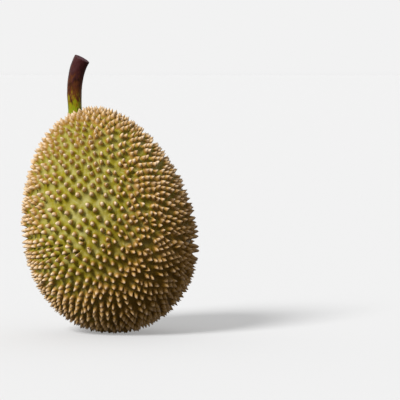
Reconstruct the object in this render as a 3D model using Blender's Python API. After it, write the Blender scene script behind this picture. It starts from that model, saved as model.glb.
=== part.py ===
"""A whole durian as picked, standing on its broad end with its cut stalk on top.

Two solids: the husk, an egg whose rind rises into some 1,900 pyramid thorns, and the stalk, whose root
stands in a plain socket in the crown. All sizes are in metres and the Z axis points up.

The thorns grow in double rows. The rows leave a seam that runs down the front of the fruit from crown to
foot, go round the fruit on both sides and close in on one point of the far side, as a flow would from
sources along the seam to a sink. Where rows close in, some end. Where they part, new ones begin.
"""

import math

import bmesh
import bpy
import numpy as np
from mathutils import Matrix, Vector

MM = 0.001


def unit(vector):
    return vector / np.linalg.norm(vector)


# The egg that the thorn tips reach, in the fruit's own frame: its long axis is Z, the stalk end is up.
HALF_WIDTH = 87 * MM
HALF_DEPTH = 83 * MM
HALF_LENGTH = 116.5 * MM
NARROWING = 0.166  # the share by which the egg is slimmer at the stalk end and fuller at the other
LEAN = math.radians(12.5)  # the long axis leans towards -X
WEAR = 2.5 * MM  # how much of the lowest thorns is pressed flat by what the fruit stands on

# Thorns.
THORN_LENGTH = 9.0 * MM
CROWN_THORN_LENGTH = 6.5 * MM  # beside the stalk
CROWN_REACH = 34 * MM  # from the stalk to where the thorns are full grown
FOOT_REACH = 6.0 * MM  # from a thorn's axis to where its foot ends, if no other is in the way
SAME_POINT = 0.1 * MM  # low points this close are one
HOLLOW = 1e-9  # six times the volume of a dent in the unit ball that counts as flat
LENGTH_SPREAD = 0.06
PLACE_SPREAD = 0.35 * MM
APART = 4.5 * MM  # no two thorns stand closer
SEED = 11

# The rows: directions from the egg's middle, with how strongly rows part there (+) or close in (-).
SEAM = (
    (unit(np.array((0.03, -0.66, 0.75))), 0.68),
    (unit(np.array((0.33, -0.90, 0.29))), 0.62),
    (unit(np.array((0.45, -0.86, -0.24))), 1.00),
    (unit(np.array((0.06, -0.73, -0.68))), 0.75),
)
FAR_SIDE = (unit(np.array((-0.50, 0.865, -0.045))), -sum(strength for _, strength in SEAM))
SOFTNESS = 0.02
ROW_STEP = 1.0 * MM  # rows are followed in steps of this length
LONGEST_ROW = 600  # steps each way
SHORTEST_ROW = 12
FIRST_ROW = unit(np.array((0.02, -0.996, 0.03)))

# Double rows stand this far apart, widest on the open flank and closest at the seam's middle and crown.
ROW_GAP = 11.8 * MM
OPEN_GAP = 17.5 * MM
SEAM_GAP = 9.8 * MM
CROWN_GAP = 9.0 * MM
OPEN_FLANK = unit(np.array((-0.27, -0.955, 0.12)))
CROWN = unit(np.array((-0.09, 0.09, 1.0)))
FLANK_REACH = math.radians(32)
SEAM_REACH = math.radians(24)
ROW_BEGINS = 0.80  # of the gap: a new row begins where the nearest one is this far off
ROW_ENDS = 0.55  # and ends where another comes this close
STARTS_EVERY = 4  # steps along a row between the places where its neighbours may begin
ZIGZAG = 0.18  # of the gap: thorns step this far to the left and right of their row
HOLE = 0.47  # of the gap: a single thorn grows where no other is this near
HOLE_TRIALS = 6000  # places tried, all over the egg
PITCH = 5.6 * MM  # from one thorn to the next along a row
OPEN_PITCH = 7.7 * MM
SEAM_PITCH = 5.2 * MM

# Stalk, in the fruit's own frame: nearly straight at first, then curving over against the lean.
STALK_X = -8.0 * MM
STALK_Y = 5.0 * MM
STALK_LENGTH = 60 * MM  # above the rind
STALK_ROOT = 5.0 * MM  # below the rind
STALK_START = math.radians(8)  # from the fruit's axis towards +X
STALK_BEND = math.radians(33)
STALK_NOD = math.radians(8)  # towards the front
ROOT_RADIUS = 6.8 * MM
CUT_RADIUS = 8.2 * MM
CUT_EDGE = 0.7 * MM  # the rim of the cut is rounded off by this much
STALK_RINGS = 15
STALK_SIDES = 18
GAP = 0.3 * MM
BARE_MARGIN = 2.0 * MM  # rind with no thorns round the stalk
BARE_POINTS = 9


def clear_scene():
    for obj in list(bpy.data.objects):
        bpy.data.objects.remove(obj)


def finish(name, colour, roughness):
    """A plain surface finish with that colour and roughness."""
    material = bpy.data.materials.new(name)
    material.use_nodes = True
    shader = material.node_tree.nodes["Principled BSDF"]
    shader.inputs["Base Color"].default_value = (*colour, 1)
    shader.inputs["Roughness"].default_value = roughness
    shader.inputs["Metallic"].default_value = 0
    return material


def object_from(mesh, name, material):
    """Turns a finished bmesh into a named object."""
    data = bpy.data.meshes.new(name)
    mesh.to_mesh(data)
    mesh.free()
    obj = bpy.data.objects.new(name, data)
    obj.data.materials.append(material)
    bpy.context.scene.collection.objects.link(obj)
    return obj


def egg_point(direction, inset=0.0):
    """The point of the egg for a direction on the unit ball, or of the slightly smaller egg inside it."""
    x, y, z = direction
    swell = 1 - NARROWING * z
    return np.array((
        (HALF_WIDTH - inset) * x * swell,
        (HALF_DEPTH - inset) * y * swell,
        (HALF_LENGTH - inset) * z,
    ))


def egg_normal(direction):
    """The outward normal of the egg at that point."""
    x, y, z = direction
    swell = 1 - NARROWING * z
    return unit(np.array((
        x / (HALF_WIDTH * swell),
        y / (HALF_DEPTH * swell),
        (x * x + y * y) * NARROWING / (HALF_LENGTH * swell) + z / HALF_LENGTH,
    )))


def travel(direction, way, distance):
    """The direction reached by going that far over the egg, along a unit tangent of the ball."""
    nudge = 0.01
    stretch = np.linalg.norm(egg_point(unit(direction + way * nudge)) - egg_point(direction)) / nudge
    return unit(direction + way * distance / stretch)


def flow(direction):
    """The way the rows run at a direction: out from the seam and in to the far side."""
    way = np.zeros(3)
    for pole, strength in (*SEAM, FAR_SIDE):
        facing = direction @ pole
        way += strength * (direction * facing - pole) / (1 - facing + SOFTNESS)
    return unit(way - direction * (way @ direction))


def nearness(direction, middle, reach):
    """1 at the middle of a region, falling off smoothly with the angle from it."""
    angle = math.acos(min(1.0, direction @ middle))
    return math.exp(-(angle / reach) ** 2)


def row_gap(direction):
    """The distance between neighbouring double rows."""
    gap = ROW_GAP
    gap += (OPEN_GAP - ROW_GAP) * nearness(direction, OPEN_FLANK, FLANK_REACH)
    gap += (SEAM_GAP - ROW_GAP) * nearness(direction, SEAM[2][0], SEAM_REACH)
    gap += (CROWN_GAP - ROW_GAP) * nearness(direction, CROWN, SEAM_REACH)
    return gap


def pitch(direction):
    """The distance from one thorn to the next along a row."""
    step = PITCH
    step += (OPEN_PITCH - PITCH) * nearness(direction, OPEN_FLANK, FLANK_REACH)
    step += (SEAM_PITCH - PITCH) * nearness(direction, SEAM[2][0], SEAM_REACH)
    return step


def clearance(point, others):
    """The distance from a point to the nearest of the others."""
    if len(others) == 0:
        return HALF_LENGTH
    return math.sqrt(((others - point) ** 2).sum(axis=1).min())


def follow(start, sense, others):
    """Follows the flow from a start, with it or against it, until another row or a pole is reached."""
    here = start
    way = sense * flow(here)
    found = []
    for _ in range(LONGEST_ROW):
        halfway = travel(here, way, ROW_STEP / 2)
        here = travel(here, sense * flow(halfway), ROW_STEP)
        ahead = sense * flow(here)
        if ahead @ way < 0 or clearance(egg_point(here), others) < ROW_ENDS * row_gap(here):
            break
        found.append(here)
        way = ahead
    return found


def beside(direction, distance):
    """The direction that lies that far to the side of the flow."""
    return travel(direction, np.cross(direction, flow(direction)), distance)


def thorn_rows():
    """Lays row after row, each beginning a gap away from one that lies already."""
    rows = []
    laid = np.empty((0, 3))
    starts = [FIRST_ROW]
    for start in starts:  # the list grows as rows are laid
        if clearance(egg_point(start), laid) < ROW_BEGINS * row_gap(start):
            continue
        row = follow(start, -1, laid)[::-1] + [start] + follow(start, 1, laid)
        if len(row) < SHORTEST_ROW:
            continue
        rows.append(row)
        laid = np.vstack([laid, [egg_point(here) for here in row]])
        for here in row[::STARTS_EVERY]:
            starts += [beside(here, row_gap(here)), beside(here, -row_gap(here))]
    return rows


def even_directions(count):
    """Directions spread evenly over the unit ball, along a spiral from top to bottom."""
    golden_turn = math.pi * (3 - math.sqrt(5))
    found = []
    for number in range(count):
        turn = number * golden_turn
        z = 1 - (2 * number + 1) / count
        across = math.sqrt(1 - z * z)
        found.append(np.array((across * math.cos(turn), across * math.sin(turn), z)))
    return found


def thorn_directions(rng):
    """The direction of each thorn on the unit ball: left and right of the rows by turns, and in the holes."""
    found = []
    feet = np.empty((0, 3))
    for row in thorn_rows():
        side, walked = 1, 0.0
        for here in row:
            walked += ROW_STEP
            if walked < pitch(here):
                continue
            walked -= pitch(here)
            side = -side
            aside = side * ZIGZAG * row_gap(here) + PLACE_SPREAD * rng.normal()
            thorn = beside(here, aside)
            foot = egg_point(thorn)
            if clearance(foot, feet) > APART:
                found.append(thorn)
                feet = np.vstack([feet, foot])
    for thorn in even_directions(HOLE_TRIALS):
        foot = egg_point(thorn)
        if clearance(foot, feet) > HOLE * row_gap(thorn):
            found.append(thorn)
            feet = np.vstack([feet, foot])
    return found


def rind_direction(x, y):
    """The direction of the rind's point above a place near the crown."""
    x = x / ((HALF_WIDTH - THORN_LENGTH) * (1 - NARROWING))
    y = y / ((HALF_DEPTH - THORN_LENGTH) * (1 - NARROWING))
    return np.array((x, y, math.sqrt(1 - x * x - y * y)))


def stalk_foot():
    """Where the stalk's axis meets the rind, in the fruit's own frame."""
    return egg_point(rind_direction(STALK_X, STALK_Y), THORN_LENGTH)


def from_stalk(point):
    """How far a point of the upper half is from the stalk's foot, and further than any for the lower."""
    foot = stalk_foot()
    if point[2] < 0:
        return HALF_LENGTH
    return math.hypot(point[0] - foot[0], point[1] - foot[1])


def bare_directions():
    """Directions of the points of smooth rind under and round the stalk."""
    found = [rind_direction(STALK_X, STALK_Y)]
    for k in range(BARE_POINTS):
        turn = math.tau * k / BARE_POINTS
        x = STALK_X + ROOT_RADIUS * math.cos(turn)
        y = STALK_Y + ROOT_RADIUS * math.sin(turn)
        found.append(rind_direction(x, y))
    return found


def usual_length(foot):
    """Thorns are short beside the stalk and full grown further off."""
    grown = min(1, from_stalk(foot) / CROWN_REACH)
    return CROWN_THORN_LENGTH + (THORN_LENGTH - CROWN_THORN_LENGTH) * grown


def thorn_tip(direction, rng):
    """The tip of a thorn, each a little longer or shorter than is usual there."""
    foot = egg_point(direction, THORN_LENGTH)
    length = usual_length(foot) * (1 + LENGTH_SPREAD * float(np.clip(rng.normal(), -2, 1)))
    return foot + egg_normal(direction) * length


def low_point(corners, among_thorns):
    """The point of the rind that is equally far from three neighbours.

    Thorns have flanks of one slope, so where they crowd together their feet meet high above the rind.
    """
    first, second, third = corners
    direction = unit(np.cross(second - first, third - first))
    if direction @ first < 0:
        direction = -direction
    ground = egg_point(direction, THORN_LENGTH)
    if not among_thorns:
        return ground
    away = np.mean([np.linalg.norm(egg_point(corner, THORN_LENGTH) - ground) for corner in corners])
    return ground + egg_normal(direction) * usual_length(ground) * max(0, 1 - away / FOOT_REACH)


def caves_in(edge):
    """Whether the skin is hollow along the edge between two triangles."""
    start, end = (np.array(corner.co) for corner in edge.verts)
    far_corners = [corner for face in edge.link_faces for corner in face.verts if corner not in edge.verts]
    one, other = (np.array(corner.co) for corner in far_corners)
    outward = np.cross(end - start, one - start)
    outward *= np.sign(outward @ start)
    return (other - start) @ outward > HOLLOW


def join_neighbours(mesh):
    """Wraps the points of the unit ball in triangles, none of which has another point above it.

    The hull rounds its numbers off, so here and there it joins the wrong two of four corners.
    """
    bmesh.ops.convex_hull(mesh, input=mesh.verts)
    wrong = [edge for edge in mesh.edges if caves_in(edge)]
    while wrong:
        for edge in wrong:
            if edge.is_valid and caves_in(edge):
                bmesh.utils.edge_rotate(edge)
        wrong = [edge for edge in mesh.edges if caves_in(edge)]


def husk_mesh():
    """The rind with its thorns, as one closed surface in the fruit's own frame.

    The hull of the directions joins neighbouring thorns in triangles. Each triangle gets a low point
    between its corners, and each edge between two thorns is turned to run between two low points, so
    every thorn ends up as one pyramid on its own cell.
    """
    rng = np.random.default_rng(SEED)
    clear = ROOT_RADIUS + BARE_MARGIN
    thorns = [way for way in thorn_directions(rng) if from_stalk(egg_point(way, THORN_LENGTH)) > clear]
    mesh = bmesh.new()
    tips = [mesh.verts.new(direction) for direction in thorns]
    bare = [mesh.verts.new(direction) for direction in bare_directions()]
    join_neighbours(mesh)
    shared_edges = mesh.edges[:]
    low_points = bmesh.ops.poke(mesh, faces=mesh.faces[:])["verts"]
    places = []
    for point in low_points:
        corners = [edge.other_vert(point) for edge in point.link_edges]
        among_thorns = not any(corner in bare for corner in corners)
        places.append(low_point([np.array(corner.co) for corner in corners], among_thorns))
    bmesh.ops.rotate_edges(mesh, edges=shared_edges)
    for corner, direction in zip(tips, thorns):
        corner.co = thorn_tip(direction, rng)
    for corner, direction in zip(bare, bare_directions()):
        corner.co = egg_point(direction, THORN_LENGTH)
    for point, place in zip(low_points, places):
        point.co = place
    bmesh.ops.remove_doubles(mesh, verts=low_points, dist=SAME_POINT)
    bmesh.ops.recalc_face_normals(mesh, faces=mesh.faces)
    return mesh


def stalk_heading(share):
    """The way the stalk points at a share of its height above the rind."""
    bend = STALK_START + STALK_BEND * share ** 2
    nod = STALK_NOD * share
    return Vector((math.sin(bend), -math.sin(nod), math.cos(bend))).normalized()


def stalk_ring(mesh, centre, heading, radius):
    """One ring of the stalk's skin, square to its heading."""
    across = Vector((0, 1, 0)).cross(heading).normalized()
    up = heading.cross(across)
    ring = []
    for side in range(STALK_SIDES):
        turn = math.tau * side / STALK_SIDES
        ring.append(mesh.verts.new(centre + (across * math.cos(turn) + up * math.sin(turn)) * radius))
    return ring


def stalk_mesh():
    """The stalk from its root to its cut end, in the fruit's own frame: slim below, swollen at the cut."""
    mesh = bmesh.new()
    centre = Vector(stalk_foot())
    root = stalk_heading(0)
    rings = [stalk_ring(mesh, centre - root * STALK_ROOT, root, ROOT_RADIUS)]
    step = (STALK_LENGTH - CUT_EDGE) / STALK_RINGS
    for k in range(STALK_RINGS + 1):
        share = k / STALK_RINGS
        radius = ROOT_RADIUS + (CUT_RADIUS - ROOT_RADIUS) * share
        rings.append(stalk_ring(mesh, centre, stalk_heading(share), radius))
        if k < STALK_RINGS:
            centre = centre + stalk_heading(share + 0.5 / STALK_RINGS) * step
    top = stalk_heading(1)
    rings.append(stalk_ring(mesh, centre + top * CUT_EDGE, top, CUT_RADIUS - CUT_EDGE))
    for low, high in zip(rings, rings[1:]):
        for side in range(STALK_SIDES):
            after = (side + 1) % STALK_SIDES
            mesh.faces.new((low[side], low[after], high[after], high[side]))
    mesh.faces.new(rings[0][::-1])
    mesh.faces.new(rings[-1])
    bmesh.ops.recalc_face_normals(mesh, faces=mesh.faces)
    return mesh


def cutter(mesh, name):
    """A helper that only cuts: it isn't a piece of the fruit."""
    obj = object_from(mesh, name, finish(name, (0.5, 0.5, 0.5), 0.5))
    obj.hide_render = True
    obj.display_type = "WIRE"
    return obj


def socket_cutter():
    """The plain hole that the stalk's root stands in."""
    above = 2 * THORN_LENGTH
    depth = STALK_ROOT + GAP + above
    heading = stalk_heading(0)
    middle = Vector(stalk_foot()) + heading * (above - depth / 2)
    mesh = bmesh.new()
    bmesh.ops.create_cone(
        mesh, cap_ends=True, segments=STALK_SIDES,
        radius1=ROOT_RADIUS + GAP, radius2=ROOT_RADIUS + GAP, depth=depth,
        matrix=Matrix.Translation(middle) @ Matrix.Rotation(STALK_START, 4, "Y"),
    )
    return cutter(mesh, "socket_cutter")


def floor_cutter():
    """A slab whose top is the surface that the fruit stands on."""
    thick = 4 * WEAR
    size = Matrix.Diagonal((4 * HALF_WIDTH, 4 * HALF_WIDTH, thick, 1))
    mesh = bmesh.new()
    bmesh.ops.create_cube(mesh, size=1, matrix=Matrix.Translation((0, 0, -thick / 2)) @ size)
    return cutter(mesh, "floor_cutter")


def cut(obj, by):
    """Takes one helper's shape out of a piece."""
    modifier = obj.modifiers.new(by.name, "BOOLEAN")
    modifier.operation = "DIFFERENCE"
    modifier.solver = "EXACT"
    modifier.object = by


def stand_on_floor(fruit, husk):
    """Leans the fruit and sets it down, centred over the origin, with its lowest thorns worn flat."""
    fruit.rotation_euler = (0, -LEAN, 0)
    leaning = Matrix.Rotation(-LEAN, 3, "Y")
    points = np.array([leaning @ v.co for v in husk.data.vertices])
    low, high = points.min(axis=0), points.max(axis=0)
    fruit.location = (-(low[0] + high[0]) / 2, -(low[1] + high[1]) / 2, -low[2] - WEAR)


def main():
    clear_scene()
    fruit = bpy.data.objects.new("fruit", None)
    bpy.context.scene.collection.objects.link(fruit)
    husk = object_from(husk_mesh(), "husk", finish("husk", (0.36, 0.30, 0.07), 0.55))
    stalk = object_from(stalk_mesh(), "stalk", finish("stalk", (0.10, 0.035, 0.02), 0.5))
    stalk.data.shade_smooth()
    stalk.data.set_sharp_from_angle(angle=math.radians(40))
    socket = socket_cutter()
    for piece in (husk, stalk, socket):
        piece.parent = fruit
    stand_on_floor(fruit, husk)
    cut(husk, socket)
    cut(husk, floor_cutter())


main()
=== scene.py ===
"""The looks of a whole durian: its thorny husk and its cut stalk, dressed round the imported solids.

The husk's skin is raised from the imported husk: each packed pyramid becomes a thorn with a flared foot, blunt
where it has room and sharp in a crowd, and the rind shows between the feet. The stalk is swept along the
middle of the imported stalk. All sizes are in metres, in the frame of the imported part: Z is up and -Y is the
front.
"""

import logging
import math
from dataclasses import dataclass, field
from enum import Enum

import bmesh
import bpy
import numpy as np
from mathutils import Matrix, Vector


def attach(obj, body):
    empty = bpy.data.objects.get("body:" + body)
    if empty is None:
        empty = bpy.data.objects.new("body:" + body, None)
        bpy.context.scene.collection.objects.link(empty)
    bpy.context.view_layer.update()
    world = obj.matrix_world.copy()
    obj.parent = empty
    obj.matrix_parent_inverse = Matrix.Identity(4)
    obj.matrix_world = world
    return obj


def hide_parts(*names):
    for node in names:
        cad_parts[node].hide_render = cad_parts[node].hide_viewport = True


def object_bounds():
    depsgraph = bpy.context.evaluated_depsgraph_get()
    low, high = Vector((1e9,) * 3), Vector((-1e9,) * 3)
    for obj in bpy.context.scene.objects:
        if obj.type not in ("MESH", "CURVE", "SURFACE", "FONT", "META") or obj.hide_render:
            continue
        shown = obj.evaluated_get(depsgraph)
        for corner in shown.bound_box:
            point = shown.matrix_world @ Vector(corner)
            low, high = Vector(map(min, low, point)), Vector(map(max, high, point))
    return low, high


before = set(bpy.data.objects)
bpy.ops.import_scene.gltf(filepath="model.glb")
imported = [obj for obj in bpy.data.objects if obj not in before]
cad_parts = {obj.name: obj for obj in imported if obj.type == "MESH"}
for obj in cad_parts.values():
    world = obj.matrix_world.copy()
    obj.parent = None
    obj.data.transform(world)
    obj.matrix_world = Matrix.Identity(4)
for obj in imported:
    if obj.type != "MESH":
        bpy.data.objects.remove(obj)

MM = 0.001
PACKED_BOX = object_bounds()
BODY = "root"
SAME_POINT = 0.005 * MM  # corners of loose triangles this close are one point
SPECULAR = 0.2  # how strongly every surface mirrors
WHITE = (1.0, 1.0, 1.0)

Socket = bpy.types.NodeSocket
Value = float | int | tuple[float, ...] | str | Socket | bpy.types.ID
Inputs = dict[str | int, Value]
Colour = tuple[float, float, float]
Direction = tuple[float, float, float]
Band = tuple[float, float]  # the values between which one look gives way to another
Profile = tuple[tuple[float, float], ...]

log = logging.getLogger("durian")


class Mark(Enum):
    """What the skins carry along for their finishes and for the trees that shape them."""

    THORN = "thorn"  # the number of the thorn that a face belongs to
    WHOLE = "whole"  # 1 on the faces of thorns that aren't worn flat
    FOOT = "foot"  # the middle of a thorn's foot
    TIP = "tip"  # the thorn's tip
    NEARNESS = "nearness"  # 1 at the tip, 0 where the thorn meets its neighbours
    HEIGHT = "height"  # 1 at a tip, 0 a full thorn's length below it
    CLEFT = "cleft"  # above 0 where thorns stand so close that their feet meet high above the rind
    ROOM = "room"  # 0 on thorns in a crowd, 1 on thorns with room all round
    TINT = "tint"  # a chance value for each thorn
    GRAIN = "grain"  # where a point lies in the fibres of its thorn or of the stalk
    RADIUS = "radius"  # half the thickness of the stalk
    ALONG = "along"  # 0 at the stalk's root, 1 at its cut
    CUT = "cut"  # 1 on the cut face


class Graph:
    """A node tree as it is drawn up, with short names for the nodes that are used most."""

    def __init__(self, tree: bpy.types.NodeTree) -> None:
        """Starts on a tree."""
        self.tree = tree

    def feed(self, node: bpy.types.Node, inputs: Inputs) -> None:
        """Gives a node its inputs.

        Args:
            node: The node.
            inputs: What its inputs take, by name or number: an output of another node, or a fixed value.
        """
        for key, value in inputs.items():
            if isinstance(value, Socket):
                self.tree.links.new(value, node.inputs[key])
            else:
                node.inputs[key].default_value = value

    def add(self, kind: str, inputs: Inputs | None = None, **settings: object) -> bpy.types.Node:
        """Adds one node.

        Args:
            kind: The node's type.
            inputs: What its inputs take, if anything.
            settings: The node's own properties.

        Returns:
            The node.
        """
        node = self.tree.nodes.new(kind)
        for name, value in settings.items():
            setattr(node, name, value)
        self.feed(node, inputs or {})
        return node

    def math(self, operation: str, *values: Value) -> Socket:
        """The result of a sum on up to three numbers."""
        return self.add("ShaderNodeMath", dict(enumerate(values)), operation=operation).outputs[0]

    def vector(self, operation: str, *values: Value) -> Socket:
        """The result of a sum on up to three vectors."""
        return self.add("ShaderNodeVectorMath", dict(enumerate(values)), operation=operation).outputs[0]

    def scaled(self, vector: Socket, by: Value) -> Socket:
        """A vector times a number."""
        return self.add("ShaderNodeVectorMath", {0: vector, "Scale": by}, operation="SCALE").outputs[0]

    def length(self, vector: Socket) -> Socket:
        """The length of a vector."""
        return self.add("ShaderNodeVectorMath", {0: vector}, operation="LENGTH").outputs["Value"]

    def dot(self, vector: Socket, direction: Value) -> Socket:
        """How far a vector reaches in a direction."""
        inputs = {0: vector, 1: direction}
        return self.add("ShaderNodeVectorMath", inputs, operation="DOT_PRODUCT").outputs["Value"]

    def between(self, value: Socket, band: Band) -> Socket:
        """How far a value is through a band, from 0 to 1, with soft ends."""
        inputs = {"Value": value, "From Min": band[0], "From Max": band[1]}
        return self.add("ShaderNodeMapRange", inputs, interpolation_type="SMOOTHSTEP").outputs[0]

    def noise(self, place: Socket, size: float, detail: float = 2.0, seed: float = 0.0) -> Socket:
        """Soft noise from 0 to 1.

        Args:
            place: Where the noise is read.
            size: The width of its patches.
            detail: How many finer layers it has.
            seed: Picks another noise of the same kind.

        Returns:
            The noise's value.
        """
        inputs = {"Vector": place, "W": seed, "Scale": 1 / size, "Detail": detail}
        return self.add("ShaderNodeTexNoise", inputs, noise_dimensions="4D").outputs[0]

    def blend(self, share: Socket, low: Value, high: Value) -> Socket:
        """A number between two others."""
        return self.add("ShaderNodeMix", {0: share, 2: low, 3: high}, data_type="FLOAT").outputs[0]

    def curve(self, value: Socket, points: Profile) -> Socket:
        """Reads a curve through the given points at a value."""
        node = self.add("ShaderNodeFloatCurve", {"Value": value})
        line = node.mapping.curves[0]
        line.points[0].location, line.points[-1].location = points[0], points[-1]
        for point in points[1:-1]:
            line.points.new(*point)
        for point in line.points:
            point.handle_type = "VECTOR"
        node.mapping.update()
        return node.outputs[0]


class ShapeGraph(Graph):
    """A Geometry Nodes tree with named inputs."""

    def __init__(self, name: str, sizes: dict[str, Value]) -> None:
        """Opens the tree.

        Args:
            name: The tree's name.
            sizes: Its inputs beside the geometry, with their values.
        """
        super().__init__(bpy.data.node_groups.new(name, "GeometryNodeTree"))
        self.sizes = sizes
        interface = self.tree.interface
        interface.new_socket("Geometry", in_out="OUTPUT", socket_type="NodeSocketGeometry")
        interface.new_socket("Geometry", in_out="INPUT", socket_type="NodeSocketGeometry")
        for label, value in sizes.items():
            interface.new_socket(label, in_out="INPUT", socket_type=self.socket_type(value))
        self.inputs = self.tree.nodes.new("NodeGroupInput").outputs

    @staticmethod
    def socket_type(value: Value) -> str:
        """The type of socket that holds a value."""
        if isinstance(value, bpy.types.Material):
            return "NodeSocketMaterial"
        if isinstance(value, int):
            return "NodeSocketInt"
        return "NodeSocketFloat" if isinstance(value, float) else "NodeSocketVector"

    def mark(self, mark: Mark, data_type: str = "FLOAT") -> Socket:
        """Reads one of the skin's marks."""
        node = self.add("GeometryNodeInputNamedAttribute", {"Name": mark.value}, data_type=data_type)
        return node.outputs["Attribute"]

    def keep(self, geometry: Socket, mark: Mark, value: Socket, data_type: str = "FLOAT",
             domain: str = "POINT") -> Socket:
        """Writes a mark on the skin.

        Args:
            geometry: The skin.
            mark: The mark.
            value: What it says.
            data_type: Whether it is a number or a vector.
            domain: Whether it is written on points or on faces.

        Returns:
            The marked skin.
        """
        inputs = {"Geometry": geometry, "Name": mark.value, "Value": value}
        settings = {"data_type": data_type, "domain": domain}
        return self.add("GeometryNodeStoreNamedAttribute", inputs, **settings).outputs[0]

    def moved(self, geometry: Socket, **inputs: Value) -> Socket:
        """Sets the place of points."""
        places = {name.capitalize(): value for name, value in inputs.items()}
        return self.add("GeometryNodeSetPosition", {"Geometry": geometry} | places).outputs[0]

    def here(self) -> Socket:
        """Where a point lies by now."""
        return self.add("GeometryNodeInputPosition").outputs[0]

    def swollen(self, geometry: Socket, depth: Socket) -> Socket:
        """Moves points outward."""
        outward = self.add("GeometryNodeInputNormal").outputs[0]
        return self.moved(geometry, offset=self.scaled(outward, depth))

    def boxed(self, geometry: Socket, low: Socket, high: Socket) -> Socket:
        """Keeps points inside a box."""
        inside = self.vector("MINIMUM", self.vector("MAXIMUM", self.here(), low), high)
        return self.moved(geometry, position=inside)

    def close(self, geometry: Socket, material: Socket) -> None:
        """Ends the tree: smooth, dressed and free of instances."""
        smooth = self.add("GeometryNodeSetShadeSmooth", {"Geometry": geometry})
        real = self.add("GeometryNodeRealizeInstances", {"Geometry": smooth.outputs[0]})
        dressed = self.add("GeometryNodeSetMaterial", {"Geometry": real.outputs[0], "Material": material})
        self.add("NodeGroupOutput", {"Geometry": dressed.outputs[0]})

    def apply(self, mesh: bpy.types.Mesh, name: str) -> bpy.types.Object:
        """Runs the tree on a mesh.

        Args:
            mesh: What the tree starts from.
            name: The name of the finished piece.

        Returns:
            An object with the finished plain mesh and no modifier.
        """
        rough = bpy.data.objects.new(f"{name}_rough", mesh)
        bpy.context.scene.collection.objects.link(rough)
        modifier = rough.modifiers.new(self.tree.name, "NODES")
        modifier.node_group = self.tree
        for item in self.tree.interface.items_tree:
            if item.in_out == "INPUT" and item.name in self.sizes:
                modifier[item.identifier] = self.sizes[item.name]
        evaluated = rough.evaluated_get(bpy.context.evaluated_depsgraph_get())
        finished = bpy.data.meshes.new_from_object(evaluated)
        finished.name = name
        bpy.data.objects.remove(rough)
        piece = bpy.data.objects.new(name, finished)
        bpy.context.scene.collection.objects.link(piece)
        return piece


class FinishGraph(Graph):
    """The node tree of a surface finish."""

    def __init__(self, name: str) -> None:
        """Makes a new material with an empty tree but for its shader."""
        self.material = bpy.data.materials.new(name)
        self.material.use_nodes = True
        super().__init__(self.material.node_tree)
        self.shader = self.tree.nodes["Principled BSDF"]
        self.feed(self.shader, {"Specular IOR Level": SPECULAR})

    def place(self) -> Socket:
        """Where a point lies in the part's own frame."""
        return self.add("ShaderNodeTexCoord").outputs["Object"]

    def mark(self, mark: Mark, output: str = "Fac") -> Socket:
        """Reads one of the skin's marks."""
        return self.add("ShaderNodeAttribute", attribute_name=mark.value).outputs[output]

    def mix(self, share: Socket, low: Value, high: Value) -> Socket:
        """A colour between two others."""
        sockets = {0: share, 6: rgba(low), 7: rgba(high)}
        return self.add("ShaderNodeMix", sockets, data_type="RGBA").outputs[2]

    def wear(self, colour: Value, roughness: Socket, relief: Socket, depth: float) -> bpy.types.Material:
        """Puts the finish together.

        Args:
            colour: The surface's colour.
            roughness: Its roughness.
            relief: Fine relief, from 0 to 1.
            depth: How deep that relief is.

        Returns:
            The finished material.
        """
        bump = self.add("ShaderNodeBump", {"Height": relief, "Distance": depth}).outputs[0]
        self.feed(self.shader, {"Base Color": rgba(colour), "Roughness": roughness, "Normal": bump})
        return self.material


def rgba(colour: Value) -> Value:
    """A colour with its alpha, or a socket as it is."""
    return (*colour, 1.0) if isinstance(colour, tuple) else colour


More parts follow.
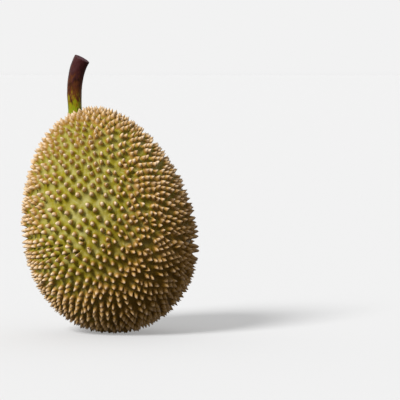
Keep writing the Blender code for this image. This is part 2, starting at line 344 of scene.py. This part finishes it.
@dataclass(frozen=True)
class ThornyRind:
    """Waxy olive rind, brown low on one side, partly its own browning and partly painted shade on the side
    away from the lamp, with painted shade in the clefts between crowded thorns, and tan thorns that are
    browner at the foot.
    """

    olive: Colour = (0.28, 0.235, 0.012)
    grey_green: Colour = (0.37, 0.33, 0.085)
    # the rind's own brown, also laid on as painted shade low on the side away from the lamp and in the clefts
    brown: Colour = (0.17, 0.085, 0.004)
    foot: Colour = (0.39, 0.20, 0.025)
    flank: Colour = (0.60, 0.37, 0.135)
    tip: Colour = (0.90, 0.70, 0.48)
    # painted shade: the colour of tips low on the side turned away from the lamp
    painted_shade_tip: Colour = (0.40, 0.22, 0.11)
    streak: Colour = (0.20, 0.085, 0.015)
    patch: float = 9 * MM
    patch_edge: Band = (0.42, 0.66)  # from olive to grey-green
    brown_and_shade_side: Direction = (0.75, 0.0, -0.66)
    brown_edge: Band = (-5 * MM, 100 * MM)  # how far to that side of the middle the rind turns brown, its own browning mixed with painted shade
    brown_and_shade_patch: float = 36 * MM
    brown_and_shade_wander: float = 60 * MM  # how far those patches shift that edge
    foot_edge: Band = (0.28, 0.50)  # the heights on a thorn from rind to foot,
    flank_edge: Band = (0.46, 0.64)  # from foot to flank
    tip_edge: Band = (0.54, 0.80)  # and from flank to tip
    speck: float = 0.9 * MM
    raggedness: float = 0.35  # how far the specks shift those heights
    painted_shade_slim_tip: float = 0.12  # how much less of a thorn is pale where the rind is brown and in painted shade
    dull_tip: float = 0.55  # how much of the flank's colour the dullest tip has
    tip_shade_share: float = 0.6  # how much of the painted shade tip colour a tip has where the rind is brown and shaded
    fibre: float = 1.3  # the width of a fibre, where a thorn is 1 in radius
    fibre_edge: Band = (0.42, 0.60)
    fibre_start: Band = (0.15, 0.40)  # the heights on a thorn where fibres begin to show
    faint_streak: float = 0.15  # how strong the fibres are on thorns with room,
    strong_streak: float = 0.45  # and in a crowd
    cleft_shade_edge: Band = (0.15, 0.55)
    faint_cleft_shade: float = 0.4  # how strongly painted shade browns the clefts where the rind is olive,
    strong_cleft_shade: float = 1.0  # and where it is brown
    roughness: float = 0.36
    speck_roughness: float = 0.20
    relief: float = 0.25 * MM

    def material(self) -> bpy.types.Material:
        """Builds the material."""
        graph = FinishGraph("thorny_rind")
        place = graph.place()
        specks = graph.noise(place, self.speck, detail=3.0, seed=1.0)
        patches = graph.between(graph.noise(place, self.patch, detail=3.0), self.patch_edge)
        # how brown the rind is low on one side: partly its own browning, partly painted shade on the side
        # turned away from the lamp
        brown_and_shade = self.brown_and_shade(graph, place)
        ground = graph.mix(brown_and_shade, graph.mix(patches, self.olive, self.grey_green), self.brown)
        thorn = self.thorn(graph, ground, specks, brown_and_shade)
        thorn = graph.mix(self.streaks(graph), thorn, self.streak)
        # painted shade: the clefts deep between crowded thorns are darkened toward brown, most on the side
        # away from the lamp
        cleft = graph.between(graph.mark(Mark.CLEFT), self.cleft_shade_edge)
        cleft = graph.math("MULTIPLY", cleft, graph.blend(brown_and_shade, self.faint_cleft_shade, self.strong_cleft_shade))
        colour = graph.mix(cleft, thorn, self.brown)
        rough = graph.math("MULTIPLY_ADD", specks, self.speck_roughness, self.roughness)
        return graph.wear(colour, rough, specks, self.relief)

    def brown_and_shade(self, graph: FinishGraph, place: Socket) -> Socket:
        """The rind turns brown low on one side, in an uneven way: partly its own browning, partly painted
        shade on the side turned away from the lamp.
        """
        low, high = PACKED_BOX
        middle = (Vector(low) + Vector(high)) / 2
        beside = graph.dot(graph.vector("SUBTRACT", place, tuple(middle)), self.brown_and_shade_side)
        patches = graph.math("SUBTRACT", graph.noise(place, self.brown_and_shade_patch, seed=2.0), 0.5)
        return graph.between(graph.math("MULTIPLY_ADD", patches, self.brown_and_shade_wander, beside), self.brown_edge)

    def thorn(self, graph: FinishGraph, ground: Socket, specks: Socket, brown_and_shade: Socket) -> Socket:
        """The colours of a thorn, one above the other.

        Args:
            graph: The finish's tree.
            ground: The colour of the rind round the thorn.
            specks: The noise that makes the edges between the colours ragged.
            brown_and_shade: How brown the rind is, partly its own browning and partly painted shade on the
                side away from the lamp.

        Returns:
            The colour.
        """
        off_middle = graph.math("SUBTRACT", specks, 0.5)
        height = graph.math("MULTIPLY_ADD", off_middle, self.raggedness, graph.mark(Mark.HEIGHT))
        foot = graph.mix(graph.between(height, self.foot_edge), ground, self.foot)
        flank = graph.mix(graph.between(height, self.flank_edge), foot, self.flank)
        # painted shade: tips low on the side away from the lamp are darkened and their pale part made shorter
        dullness = graph.math("MULTIPLY", graph.mark(Mark.TINT), self.dull_tip)
        tip_painted_shade = graph.math("MULTIPLY", brown_and_shade, self.tip_shade_share)
        tip = graph.mix(tip_painted_shade, graph.mix(dullness, self.tip, self.flank), self.painted_shade_tip)
        topmost = graph.math("MULTIPLY_ADD", brown_and_shade, -self.painted_shade_slim_tip, height)
        return graph.mix(graph.between(topmost, self.tip_edge), flank, tip)

    def streaks(self, graph: FinishGraph) -> Socket:
        """How strongly the fibres show, from 0 to 1."""
        fibres = graph.between(graph.noise(graph.mark(Mark.GRAIN, "Vector"), self.fibre), self.fibre_edge)
        streaks = graph.math("MULTIPLY", fibres, graph.between(graph.mark(Mark.HEIGHT), self.fibre_start))
        strength = graph.blend(graph.mark(Mark.ROOM), self.strong_streak, self.faint_streak)
        return graph.math("MULTIPLY", streaks, strength)


@dataclass(frozen=True)
class StalkBark:
    """Glossy bark, green at the root and purple-brown above, with streaks, and a dull mauve cut face."""

    green: Colour = (0.23, 0.28, 0.002)
    olive: Colour = (0.27, 0.19, 0.004)
    brown: Colour = (0.125, 0.036, 0.006)
    purple: Colour = (0.058, 0.014, 0.014)
    streak: Colour = (0.020, 0.005, 0.003)
    cut: Colour = (0.13, 0.050, 0.062)
    rim: Colour = (0.06, 0.020, 0.028)
    fibre: float = 0.30  # the width of a fibre, where the stalk is 1 in radius
    wander: float = 0.9  # how far the fibres shift the edges between the colours
    olive_edge: Band = (0.14, 0.34)  # the shares of the stalk's length from green to olive,
    brown_edge: Band = (0.26, 0.46)  # from olive to brown
    purple_edge: Band = (0.45, 0.80)  # and from brown to purple
    streak_width: float = 0.42
    streak_edge: Band = (0.50, 0.68)
    streak_strength: float = 0.75
    pore: float = 1.6 * MM
    pore_edge: Band = (0.35, 0.65)
    face_edge: Band = (0.3, 0.9)  # from the bark to the cut face
    roughness: float = 0.28
    fibre_roughness: float = 0.22
    face_roughness: float = 0.9
    relief: float = 0.5 * MM

    def material(self) -> bpy.types.Material:
        """Builds the material."""
        graph = FinishGraph("stalk_bark")
        grain = graph.mark(Mark.GRAIN, "Vector")
        fibres = graph.noise(grain, self.fibre, detail=3.0)
        off_middle = graph.math("SUBTRACT", fibres, 0.5)
        along = graph.math("MULTIPLY_ADD", off_middle, self.wander, graph.mark(Mark.ALONG))
        bark = graph.mix(graph.between(along, self.olive_edge), self.green, self.olive)
        bark = graph.mix(graph.between(along, self.brown_edge), bark, self.brown)
        bark = graph.mix(graph.between(along, self.purple_edge), bark, self.purple)
        streaks = graph.between(graph.noise(grain, self.streak_width, seed=3.0), self.streak_edge)
        bark = graph.mix(graph.math("MULTIPLY", streaks, self.streak_strength), bark, self.streak)
        pores = graph.between(graph.noise(graph.place(), self.pore, detail=3.0), self.pore_edge)
        face = graph.between(graph.mark(Mark.CUT), self.face_edge)
        colour = graph.mix(face, bark, graph.mix(pores, self.rim, self.cut))
        rough = graph.math("MULTIPLY_ADD", fibres, self.fibre_roughness, self.roughness)
        return graph.wear(colour, graph.blend(face, rough, self.face_roughness), fibres, self.relief)


@dataclass(frozen=True)
class PaleBoard:
    """The plain matt board that the fruit stands on."""

    colour: Colour = (0.502, 0.502, 0.502)
    glow: float = 0.29
    fleck: float = 2 * MM
    roughness: float = 0.90
    fleck_roughness: float = 0.05
    relief: float = 0.05 * MM

    def material(self) -> bpy.types.Material:
        """Builds the material."""
        graph = FinishGraph("pale_board")
        graph.feed(graph.shader, {"Emission Color": rgba(WHITE), "Emission Strength": self.glow})
        flecks = graph.noise(graph.place(), self.fleck)
        rough = graph.math("MULTIPLY_ADD", flecks, self.fleck_roughness, self.roughness)
        return graph.wear(self.colour, rough, flecks, self.relief)


def merged_copy(node: str) -> bmesh.types.BMesh:
    """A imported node's surface, with its loose triangles joined up."""
    mesh = bmesh.new()
    mesh.from_mesh(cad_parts[node].data)
    bmesh.ops.remove_doubles(mesh, verts=mesh.verts, dist=SAME_POINT)
    return mesh


def plain_mesh(source: bmesh.types.BMesh, name: str) -> bpy.types.Mesh:
    """Turns a worked bmesh into mesh data."""
    mesh = bpy.data.meshes.new(name)
    source.to_mesh(mesh)
    source.free()
    return mesh


def set_piece(piece: bpy.types.Object, node: str) -> None:
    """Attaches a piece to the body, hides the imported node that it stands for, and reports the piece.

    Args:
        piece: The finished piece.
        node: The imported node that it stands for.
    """
    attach(piece, BODY)
    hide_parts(node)
    triangles = sum(len(polygon.vertices) - 2 for polygon in piece.data.polygons)
    log.info("%s: %d triangles", piece.name, triangles)


@dataclass
class Husk:
    """The rind with its thorns: one skin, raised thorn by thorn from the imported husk.

    A thorn's outline is given by its spread, from 1 at the foot's edge to 0 on the axis, and its rise, from
    0 at the foot to 1 at the tip. Both are read at a point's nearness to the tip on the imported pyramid.
    """

    finish: ThornyRind = field(default_factory=ThornyRind)
    least_thorn: float = 1.0 * MM  # a point this far above all its neighbours is a thorn's tip
    worn_below: float = 0.2 * MM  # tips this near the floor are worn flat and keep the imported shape
    worn_nearness: float = 0.75  # how near their lost tips those flat ends lie
    cuts: int = 3  # new points along each packed edge
    crowded_width: float = 4.7 * MM  # thorns with feet as slim as this are sharp,
    roomy_width: float = 6.6 * MM  # and ones with feet as wide as this are blunt
    thorn_length: float = 9.0 * MM  # of a full-grown thorn
    foot_reach: float = 4.8 * MM  # half the width of a thorn's foot where it has room
    foot_rounding: float = 1.2 * MM  # how softly that width gives way to a neighbour's
    blunt_spread: Profile = ((0, 1), (0.25, 0.74), (0.5, 0.54), (0.75, 0.34), (1, 0))
    blunt_rise: Profile = ((0, 0), (0.25, 0.03), (0.5, 0.45), (0.75, 0.87), (1, 1))
    sharp_spread: Profile = ((0, 1), (0.25, 0.70), (0.5, 0.42), (0.75, 0.17), (1, 0))
    sharp_rise: Profile = ((0, 0), (0.25, 0.20), (0.5, 0.48), (0.75, 0.76), (1, 1))
    surely_whole: float = 0.9  # a point moves if this share of the faces round it belongs to whole thorns
    least_nearness: float = 0.01  # points below this stay where they are packed, so that neighbours join
    least_left: float = 0.01  # of the way left to the tip, because the tree divides by it
    tip_wander: float = 0.35 * MM
    unevenness: float = 0.22 * MM  # of the rind and of thorns with room, as crowded ones would meet
    unevenness_size: float = 2.5 * MM
    grain_length: float = 3.0  # how many times longer than wide the fibres of a thorn are
    grain_shift: float = 9.0  # how far apart the grain of two thorns is read, so that no two are alike
    seed: int = 4

    def marked_skin(self) -> bpy.types.Mesh:
        """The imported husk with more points, each face marked with its thorn.

        Returns:
            The mesh that the tree starts from.
        """
        skin = merged_copy("husk")
        nearness = skin.verts.layers.float.new(Mark.NEARNESS.value)
        thorn = skin.faces.layers.int.new(Mark.THORN.value)
        whole = skin.faces.layers.float.new(Mark.WHOLE.value)
        room = skin.faces.layers.float.new(Mark.ROOM.value)
        foot = skin.faces.layers.float_vector.new(Mark.FOOT.value)
        top = skin.faces.layers.float_vector.new(Mark.TIP.value)
        for point in skin.verts:
            point[nearness] = self.worn_nearness if point.co.z < self.worn_below else 0.0
        thorns = self.tips(skin)
        for number, (point, axis) in enumerate(thorns.items(), start=1):
            ring = [other.co for other in self.neighbours(point)]
            middle = sum(ring, Vector()) / len(ring)
            base = point.co - axis * (point.co - middle).dot(axis)
            width = sum((place - point.co).cross(axis).length for place in ring) / len(ring)
            free = (width - self.crowded_width) / (self.roomy_width - self.crowded_width)
            point[nearness] = 1.0
            for face in point.link_faces:
                face[thorn] = number
                face[whole] = 1.0
                face[room] = min(1.0, max(0.0, free))
                face[foot] = base
                face[top] = point.co
        log.info("husk: %d whole thorns", len(thorns))
        bmesh.ops.subdivide_edges(skin, edges=skin.edges, cuts=self.cuts, use_grid_fill=True)
        return plain_mesh(skin, "husk_skin_rough")

    @staticmethod
    def neighbours(point: bmesh.types.BMVert) -> list[bmesh.types.BMVert]:
        """The points that a point is joined to."""
        return [edge.other_vert(point) for edge in point.link_edges]

    def tips(self, skin: bmesh.types.BMesh) -> dict[bmesh.types.BMVert, Vector]:
        """The tips of the whole thorns, each with the way that it points."""
        found = {}
        for point in skin.verts:
            axis = self.ring_axis(point)
            least = min((point.co - other.co).dot(axis) for other in self.neighbours(point))
            if least > self.least_thorn and point.co.z > self.worn_below:
                found[point] = axis
        return found

    @staticmethod
    def ring_axis(point: bmesh.types.BMVert) -> Vector:
        """The way that the ring of neighbours of a point faces."""
        axis = Vector()
        for face in point.link_faces:
            corners = [corner.co - point.co for corner in face.verts]
            start = list(face.verts).index(point)
            axis += corners[(start + 1) % 3].cross(corners[(start + 2) % 3])
        return axis.normalized()

    def tree(self, material: bpy.types.Material) -> ShapeGraph:
        """The tree that turns pyramids into thorns.

        Args:
            material: The finish of the skin.

        Returns:
            The tree, with its sizes.
        """
        low, high = PACKED_BOX
        graph = ShapeGraph("raise_thorns", {
            "Thorn Length": self.thorn_length,
            "Foot Reach": self.foot_reach,
            "Foot Rounding": self.foot_rounding,
            "Tip Wander": self.tip_wander,
            "Unevenness": self.unevenness,
            "Grain Length": self.grain_length,
            "Grain Shift": self.grain_shift,
            "Lowest Corner": tuple(low),
            "Highest Corner": tuple(high),
            "Seed": self.seed,
            "Finish": material,
        })
        sizes = graph.inputs
        chance = {"ID": graph.mark(Mark.THORN, "INT"), "Seed": sizes["Seed"]}
        ends = {0: (-1, -1, -1), 1: (1, 1, 1)}
        tint = graph.add("FunctionNodeRandomValue", chance, data_type="FLOAT").outputs[1]
        sway = graph.add("FunctionNodeRandomValue", ends | chance, data_type="FLOAT_VECTOR").outputs[0]
        rise = self.outline(graph, self.sharp_rise, self.blunt_rise)
        inner = graph.math("GREATER_THAN", graph.mark(Mark.NEARNESS), self.least_nearness)
        whole = graph.math("GREATER_THAN", graph.mark(Mark.WHOLE), self.surely_whole)
        bumps = graph.math("SUBTRACT", graph.noise(graph.here(), self.unevenness_size, detail=3.0), 0.5)
        uneven = graph.math("MULTIPLY", graph.mark(Mark.ROOM), sizes["Unevenness"])
        skin = graph.keep(sizes["Geometry"], Mark.TINT, tint, domain="FACE")
        inside = graph.math("MULTIPLY", inner, whole)
        skin = graph.moved(skin, selection=inside, position=self.grown(graph, rise, sway))
        skin = graph.swollen(skin, graph.math("MULTIPLY", bumps, uneven))
        skin = graph.boxed(skin, sizes["Lowest Corner"], sizes["Highest Corner"])
        skin = self.marked_thorns(graph, skin, rise, sway)
        graph.close(skin, sizes["Finish"])
        return graph

    @staticmethod
    def outline(graph: ShapeGraph, sharp: Profile, blunt: Profile) -> Socket:
        """Reads a thorn's spread or rise at a point: the sharp curve in a crowd, the blunt one with room."""
        nearness = graph.mark(Mark.NEARNESS)
        return graph.blend(graph.mark(Mark.ROOM), graph.curve(nearness, sharp), graph.curve(nearness, blunt))

    def grown(self, graph: ShapeGraph, rise: Socket, sway: Socket) -> Socket:
        """Where a point of a pyramid lies on the finished thorn.

        Args:
            graph: The tree.
            rise: How high up the thorn the point lies.
            sway: The way that the thorn's tip strays.

        Returns:
            The place.
        """
        sizes = graph.inputs
        foot = graph.mark(Mark.FOOT, "FLOAT_VECTOR")
        tip = graph.mark(Mark.TIP, "FLOAT_VECTOR")
        nearness = graph.mark(Mark.NEARNESS)
        spread = self.outline(graph, self.sharp_spread, self.blunt_spread)
        left = graph.math("MAXIMUM", graph.math("SUBTRACT", 1.0, nearness), self.least_left)
        edge = graph.vector("SUBTRACT", graph.here(), graph.scaled(tip, nearness))
        edge = graph.scaled(edge, graph.math("DIVIDE", 1.0, left))  # the end of the line from tip to point
        out = graph.vector("SUBTRACT", edge, foot)
        width = graph.length(out)
        reach = graph.math("SMOOTH_MIN", width, sizes["Foot Reach"], sizes["Foot Rounding"])
        away = graph.math("DIVIDE", graph.math("MULTIPLY", reach, spread), width)
        place = graph.vector("ADD", foot, graph.scaled(out, away))
        place = graph.vector("ADD", place, graph.scaled(graph.vector("SUBTRACT", tip, foot), rise))
        bent = graph.math("MULTIPLY", graph.math("POWER", rise, 2.0), sizes["Tip Wander"])
        return graph.vector("ADD", place, graph.scaled(sway, bent))

    @staticmethod
    def marked_thorns(graph: ShapeGraph, skin: Socket, rise: Socket, sway: Socket) -> Socket:
        """Writes the marks that the finish needs.

        Args:
            graph: The tree.
            skin: The finished shape.
            rise: How high up its thorn a point lies.
            sway: A chance vector for each thorn.

        Returns:
            The skin with the height, the grain and the clefts marked.
        """
        sizes = graph.inputs
        whole = graph.mark(Mark.WHOLE)
        foot = graph.mark(Mark.FOOT, "FLOAT_VECTOR")
        tip = graph.mark(Mark.TIP, "FLOAT_VECTOR")
        upward = graph.vector("NORMALIZE", graph.vector("SUBTRACT", tip, foot))
        depth = graph.dot(graph.vector("SUBTRACT", tip, graph.here()), upward)
        height = graph.math("SUBTRACT", 1.0, graph.math("DIVIDE", depth, sizes["Thorn Length"]))
        height = graph.math("MULTIPLY", height, whole)
        skin = graph.keep(skin, Mark.HEIGHT, height)
        across = graph.vector("CROSS_PRODUCT", graph.vector("SUBTRACT", graph.here(), foot), upward)
        climb = graph.scaled(upward, graph.math("DIVIDE", height, sizes["Grain Length"]))
        grain = graph.vector("ADD", graph.vector("NORMALIZE", across), climb)
        grain = graph.vector("ADD", grain, graph.scaled(sway, sizes["Grain Shift"]))
        skin = graph.keep(skin, Mark.GRAIN, grain, data_type="FLOAT_VECTOR")
        cleft = graph.math("MULTIPLY", graph.math("SUBTRACT", height, rise), whole)
        return graph.keep(skin, Mark.CLEFT, graph.math("MAXIMUM", cleft, 0.0))

    def build(self) -> bpy.types.Object:
        """Makes and dresses the husk."""
        skin = self.marked_skin()
        husk = self.tree(self.finish.material()).apply(skin, "husk_skin")
        for mark in (Mark.THORN, Mark.WHOLE, Mark.FOOT, Mark.TIP, Mark.NEARNESS):
            husk.data.attributes.remove(husk.data.attributes[mark.value])
        set_piece(husk, "husk")
        return husk


@dataclass
class Stalk:
    """The cut stalk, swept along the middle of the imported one."""

    finish: StalkBark = field(default_factory=StalkBark)
    rings: int = 84
    sides: int = 64
    bends: int = 5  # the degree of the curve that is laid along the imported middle
    level: float = 0.999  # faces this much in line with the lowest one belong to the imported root's flat end
    flare: float = 0.9 * MM  # the stalk is this much thicker where it leaves the rind
    flare_reach: float = 5.0 * MM
    rim_steps: int = 4
    rim_cut: float = 0.4  # how far towards the cut face's looks the rim goes
    face_steps: int = 5
    face_lift: float = 0.02 * MM  # from ring to ring of the cut face, so that the line has a way to go
    face_hole: float = 0.02  # of a step, left in the middle of the cut face for the cap to close
    dish: float = 0.05 * MM  # how far the cut face is sunk in its middle
    ridge: float = 0.9 * MM
    ridge_width: float = 0.7  # where the stalk is 1 in radius
    ridge_level: float = 0.62  # the noise's value that leaves the bark where it is
    grain_length: float = 0.25  # the share of the length over which fibres change as they do over a radius

    def packed_rings(self) -> list[tuple[Vector, float]]:
        """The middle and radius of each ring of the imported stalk, from root to cut."""
        stalk = merged_copy("stalk")
        root = min(stalk.faces, key=lambda face: face.normal.z)
        faces = [face for face in stalk.faces if face.normal.dot(root.normal) > self.level]
        ring = dict.fromkeys(point for face in faces for point in face.verts)  # in order, to repeat exactly
        seen = set(ring)
        found = []
        while ring:
            middle = sum((point.co for point in ring), Vector()) / len(ring)
            radius = sum((point.co - middle).length for point in ring) / len(ring)
            found.append((middle, radius))
            linked = [edge.other_vert(point) for point in ring for edge in point.link_edges]
            ring = dict.fromkeys(point for point in linked if point not in seen)
            seen.update(ring)
        stalk.free()
        return found

    def line(self) -> bpy.types.Mesh:
        """The middle line with the radius at each point, up the bark and in over the cut face.

        Returns:
            A mesh of one line, whose points carry their marks.
        """
        packed = self.packed_rings()
        middles = np.array([middle for middle, _ in packed])
        radii = np.array([radius for _, radius in packed])
        bark = self.bark_rows(middles[:-1], radii[:-1])
        top = middles[-1] - middles[-2]
        cut = self.cut_rows(bark[-1], top / np.linalg.norm(top), radii[-2] - radii[-1])
        return self.marked_line(np.array(bark + cut))

    def bark_rows(self, middles: np.ndarray, radii: np.ndarray) -> list[tuple[float, ...]]:
        """The line up the bark.

        Args:
            middles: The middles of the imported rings.
            radii: Their radii.

        Returns:
            Place, radius, share of the length and cut face at each of its points.
        """
        steps = np.linalg.norm(np.diff(middles, axis=0), axis=1)
        travelled = np.concatenate(([0.0], np.cumsum(steps)))
        curves = [np.polynomial.Polynomial.fit(travelled, middles[:, axis], self.bends) for axis in range(3)]
        rows = []
        for at in np.linspace(0, travelled[-1], self.rings):
            beyond = (at - travelled[1]) / self.flare_reach
            radius = np.interp(at, travelled, radii) + self.flare * math.exp(-beyond * beyond)
            rows.append((*(curve(at) for curve in curves), radius, at / travelled[-1], 0.0))
        return rows

    def cut_rows(self, last: tuple[float, ...], heading: np.ndarray, edge: float) -> list[tuple[float, ...]]:
        """The line round the rim and in over the cut face.

        Args:
            last: The last point of the bark's line.
            heading: The way that the stalk points at its cut.
            edge: The radius of the rim's rounding.

        Returns:
            Place, radius, share of the length and cut face at each of its points.
        """
        end, rim = np.array(last[:3]), last[3]
        rows = []
        for step in range(1, self.rim_steps + 1):
            share = step / self.rim_steps
            turn = math.pi / 2 * share
            place = end + heading * edge * math.sin(turn)
            rows.append((*place, rim - edge * (1 - math.cos(turn)), 1.0, self.rim_cut * share))
        for step in range(1, self.face_steps + 1):
            inner = 1 - step / (self.face_steps + self.face_hole)
            place = end + heading * (edge + self.face_lift * step - self.dish * (1 - inner * inner))
            rows.append((*place, (rim - edge) * inner, 1.0, 1.0))
        return rows

    @staticmethod
    def marked_line(rows: np.ndarray) -> bpy.types.Mesh:
        """A line through points, with radius, share of the length and cut face marked on them."""
        mesh = bpy.data.meshes.new("stalk_line")
        links = [(k, k + 1) for k in range(len(rows) - 1)]
        mesh.from_pydata(rows[:, :3].tolist(), links, [])
        for mark, column in ((Mark.RADIUS, 3), (Mark.ALONG, 4), (Mark.CUT, 5)):
            layer = mesh.attributes.new(mark.value, "FLOAT", "POINT")
            layer.data.foreach_set("value", rows[:, column].astype(np.float32))
        return mesh

    def tree(self, material: bpy.types.Material) -> ShapeGraph:
        """The tree that sweeps the bark along the line.

        Args:
            material: The finish of the stalk.

        Returns:
            The tree, with its sizes.
        """
        low, high = PACKED_BOX
        graph = ShapeGraph("sweep_stalk", {
            "Sides": self.sides,
            "Ridge": self.ridge,
            "Grain Length": self.grain_length,
            "Lowest Corner": tuple(low),
            "Highest Corner": tuple(high),
            "Finish": material,
        })
        sizes = graph.inputs
        curve = graph.add("GeometryNodeMeshToCurve", {"Mesh": sizes["Geometry"]}).outputs[0]
        ring = graph.add("GeometryNodeCurvePrimitiveCircle", {"Resolution": sizes["Sides"], "Radius": 1.0})
        ring = graph.keep(ring.outputs[0], Mark.GRAIN, graph.here(), data_type="FLOAT_VECTOR")
        sweep = {"Curve": curve, "Profile Curve": ring, "Scale": graph.mark(Mark.RADIUS), "Fill Caps": True}
        bark = graph.add("GeometryNodeCurveToMesh", sweep).outputs[0]
        climb = graph.math("DIVIDE", graph.mark(Mark.ALONG), sizes["Grain Length"])
        climb = graph.add("ShaderNodeCombineXYZ", {"Z": climb}).outputs[0]
        grain = graph.vector("ADD", graph.mark(Mark.GRAIN, "FLOAT_VECTOR"), climb)
        bark = graph.keep(bark, Mark.GRAIN, grain, data_type="FLOAT_VECTOR")
        ridges = graph.noise(graph.mark(Mark.GRAIN, "FLOAT_VECTOR"), self.ridge_width)
        ridges = graph.math("MULTIPLY", graph.math("SUBTRACT", ridges, self.ridge_level), sizes["Ridge"])
        outer = graph.math("SUBTRACT", 1.0, graph.mark(Mark.CUT))
        bark = graph.swollen(bark, graph.math("MULTIPLY", ridges, outer))
        graph.close(graph.boxed(bark, sizes["Lowest Corner"], sizes["Highest Corner"]), sizes["Finish"])
        return graph

    def build(self) -> bpy.types.Object:
        """Makes and dresses the stalk."""
        stalk = self.tree(self.finish.material()).apply(self.line(), "stalk_bark")
        set_piece(stalk, "stalk")
        return stalk


@dataclass
class Studio:
    """The floor, the light and the camera."""

    board: PaleBoard = field(default_factory=PaleBoard)
    floor_reach: float = 60.0
    brightness: float = 0.888  # of the lit board and of the far wall that it runs up to
    sky: float = 0.29  # over the viewer's side,
    back_sky: float = 0.85  # and over the far side
    below: float = 0.12
    wall_top: Band = (0.04, 0.09)  # how steeply up one looks where the wall gives way to the sky,
    wall_foot: Band = (-0.002, -0.03)  # and how steeply down where it gives way to the dark below
    far_side: Band = (0.0, 0.8)
    key_strength: float = 3.75
    key_from: Direction = (-0.52, -0.60, 0.61)
    key_softness: float = math.radians(22)
    view_elevation: float = math.radians(3)
    view_width: float = 400 * MM
    view_beside: float = 90 * MM  # the view's middle is this far to the right of the fruit's
    view_height: float = 132.5 * MM
    view_distance: float = 2.6
    sensor: float = 36.0

    def build(self) -> None:
        """Sets up everything that isn't part of the durian."""
        self.lay_floor()
        self.hang_lamp()
        self.paint_room()
        self.point_camera()
        bpy.context.scene.view_settings.view_transform = "Standard"

    def lay_floor(self) -> None:
        """A wide board at the height of the fruit's lowest point."""
        mesh = bmesh.new()
        bmesh.ops.create_grid(mesh, x_segments=1, y_segments=1, size=self.floor_reach)
        floor = bpy.data.objects.new("floor", plain_mesh(mesh, "floor"))
        bpy.context.scene.collection.objects.link(floor)
        floor.data.materials.append(self.board.material())
        floor.visible_diffuse = False
        floor.visible_glossy = False

    def hang_lamp(self) -> None:
        """One soft lamp from the upper left."""
        lamp = bpy.data.lights.new("key", "SUN")
        lamp.energy = self.key_strength
        lamp.angle = self.key_softness
        key = bpy.data.objects.new("key", lamp)
        key.rotation_euler = Vector(self.key_from).to_track_quat("Z", "Y").to_euler()
        bpy.context.scene.collection.objects.link(key)

    def paint_room(self) -> None:
        """A room that is pale at eye level, dim over the viewer and lighter over the far side."""
        world = bpy.data.worlds.new("room")
        world.use_nodes = True
        bpy.context.scene.world = world
        graph = Graph(world.node_tree)
        facing = graph.add("ShaderNodeTexCoord").outputs["Generated"]
        ways = graph.add("ShaderNodeSeparateXYZ", {0: facing}).outputs
        above = graph.between(ways["Z"], self.wall_top)
        under = graph.between(ways["Z"], self.wall_foot)
        behind = graph.between(ways["Y"], self.far_side)
        sky = graph.math("MULTIPLY_ADD", behind, self.back_sky - self.sky, self.sky - self.brightness)
        glow = graph.math("MULTIPLY_ADD", above, sky, self.brightness)
        glow = graph.math("MULTIPLY_ADD", under, self.below - self.brightness, glow)
        graph.feed(world.node_tree.nodes["Background"], {"Color": glow})

    def point_camera(self) -> None:
        """A long lens at the front, with the fruit to the left of the view's middle."""
        camera = bpy.data.cameras.new("camera")
        camera.sensor_width = self.sensor
        camera.lens = self.sensor * self.view_distance / self.view_width
        camera.clip_end = 2 * self.floor_reach
        viewer = bpy.data.objects.new("camera", camera)
        back = Vector((0, -math.cos(self.view_elevation), math.sin(self.view_elevation)))
        viewer.location = Vector((self.view_beside, 0, self.view_height)) + back * self.view_distance
        viewer.rotation_euler = back.to_track_quat("Z", "Y").to_euler()
        bpy.context.scene.collection.objects.link(viewer)
        bpy.context.scene.camera = viewer


def corners(box: tuple[Vector, Vector]) -> list[list[float]]:
    """A box as plain lists of numbers."""
    return [list(corner) for corner in box]


def main() -> None:
    """Builds the durian and its studio."""
    logging.basicConfig(level=logging.INFO, format="%(name)s: %(message)s")
    Husk().build()
    Stalk().build()
    Studio().build()


if __name__ == "__main__":
    main()
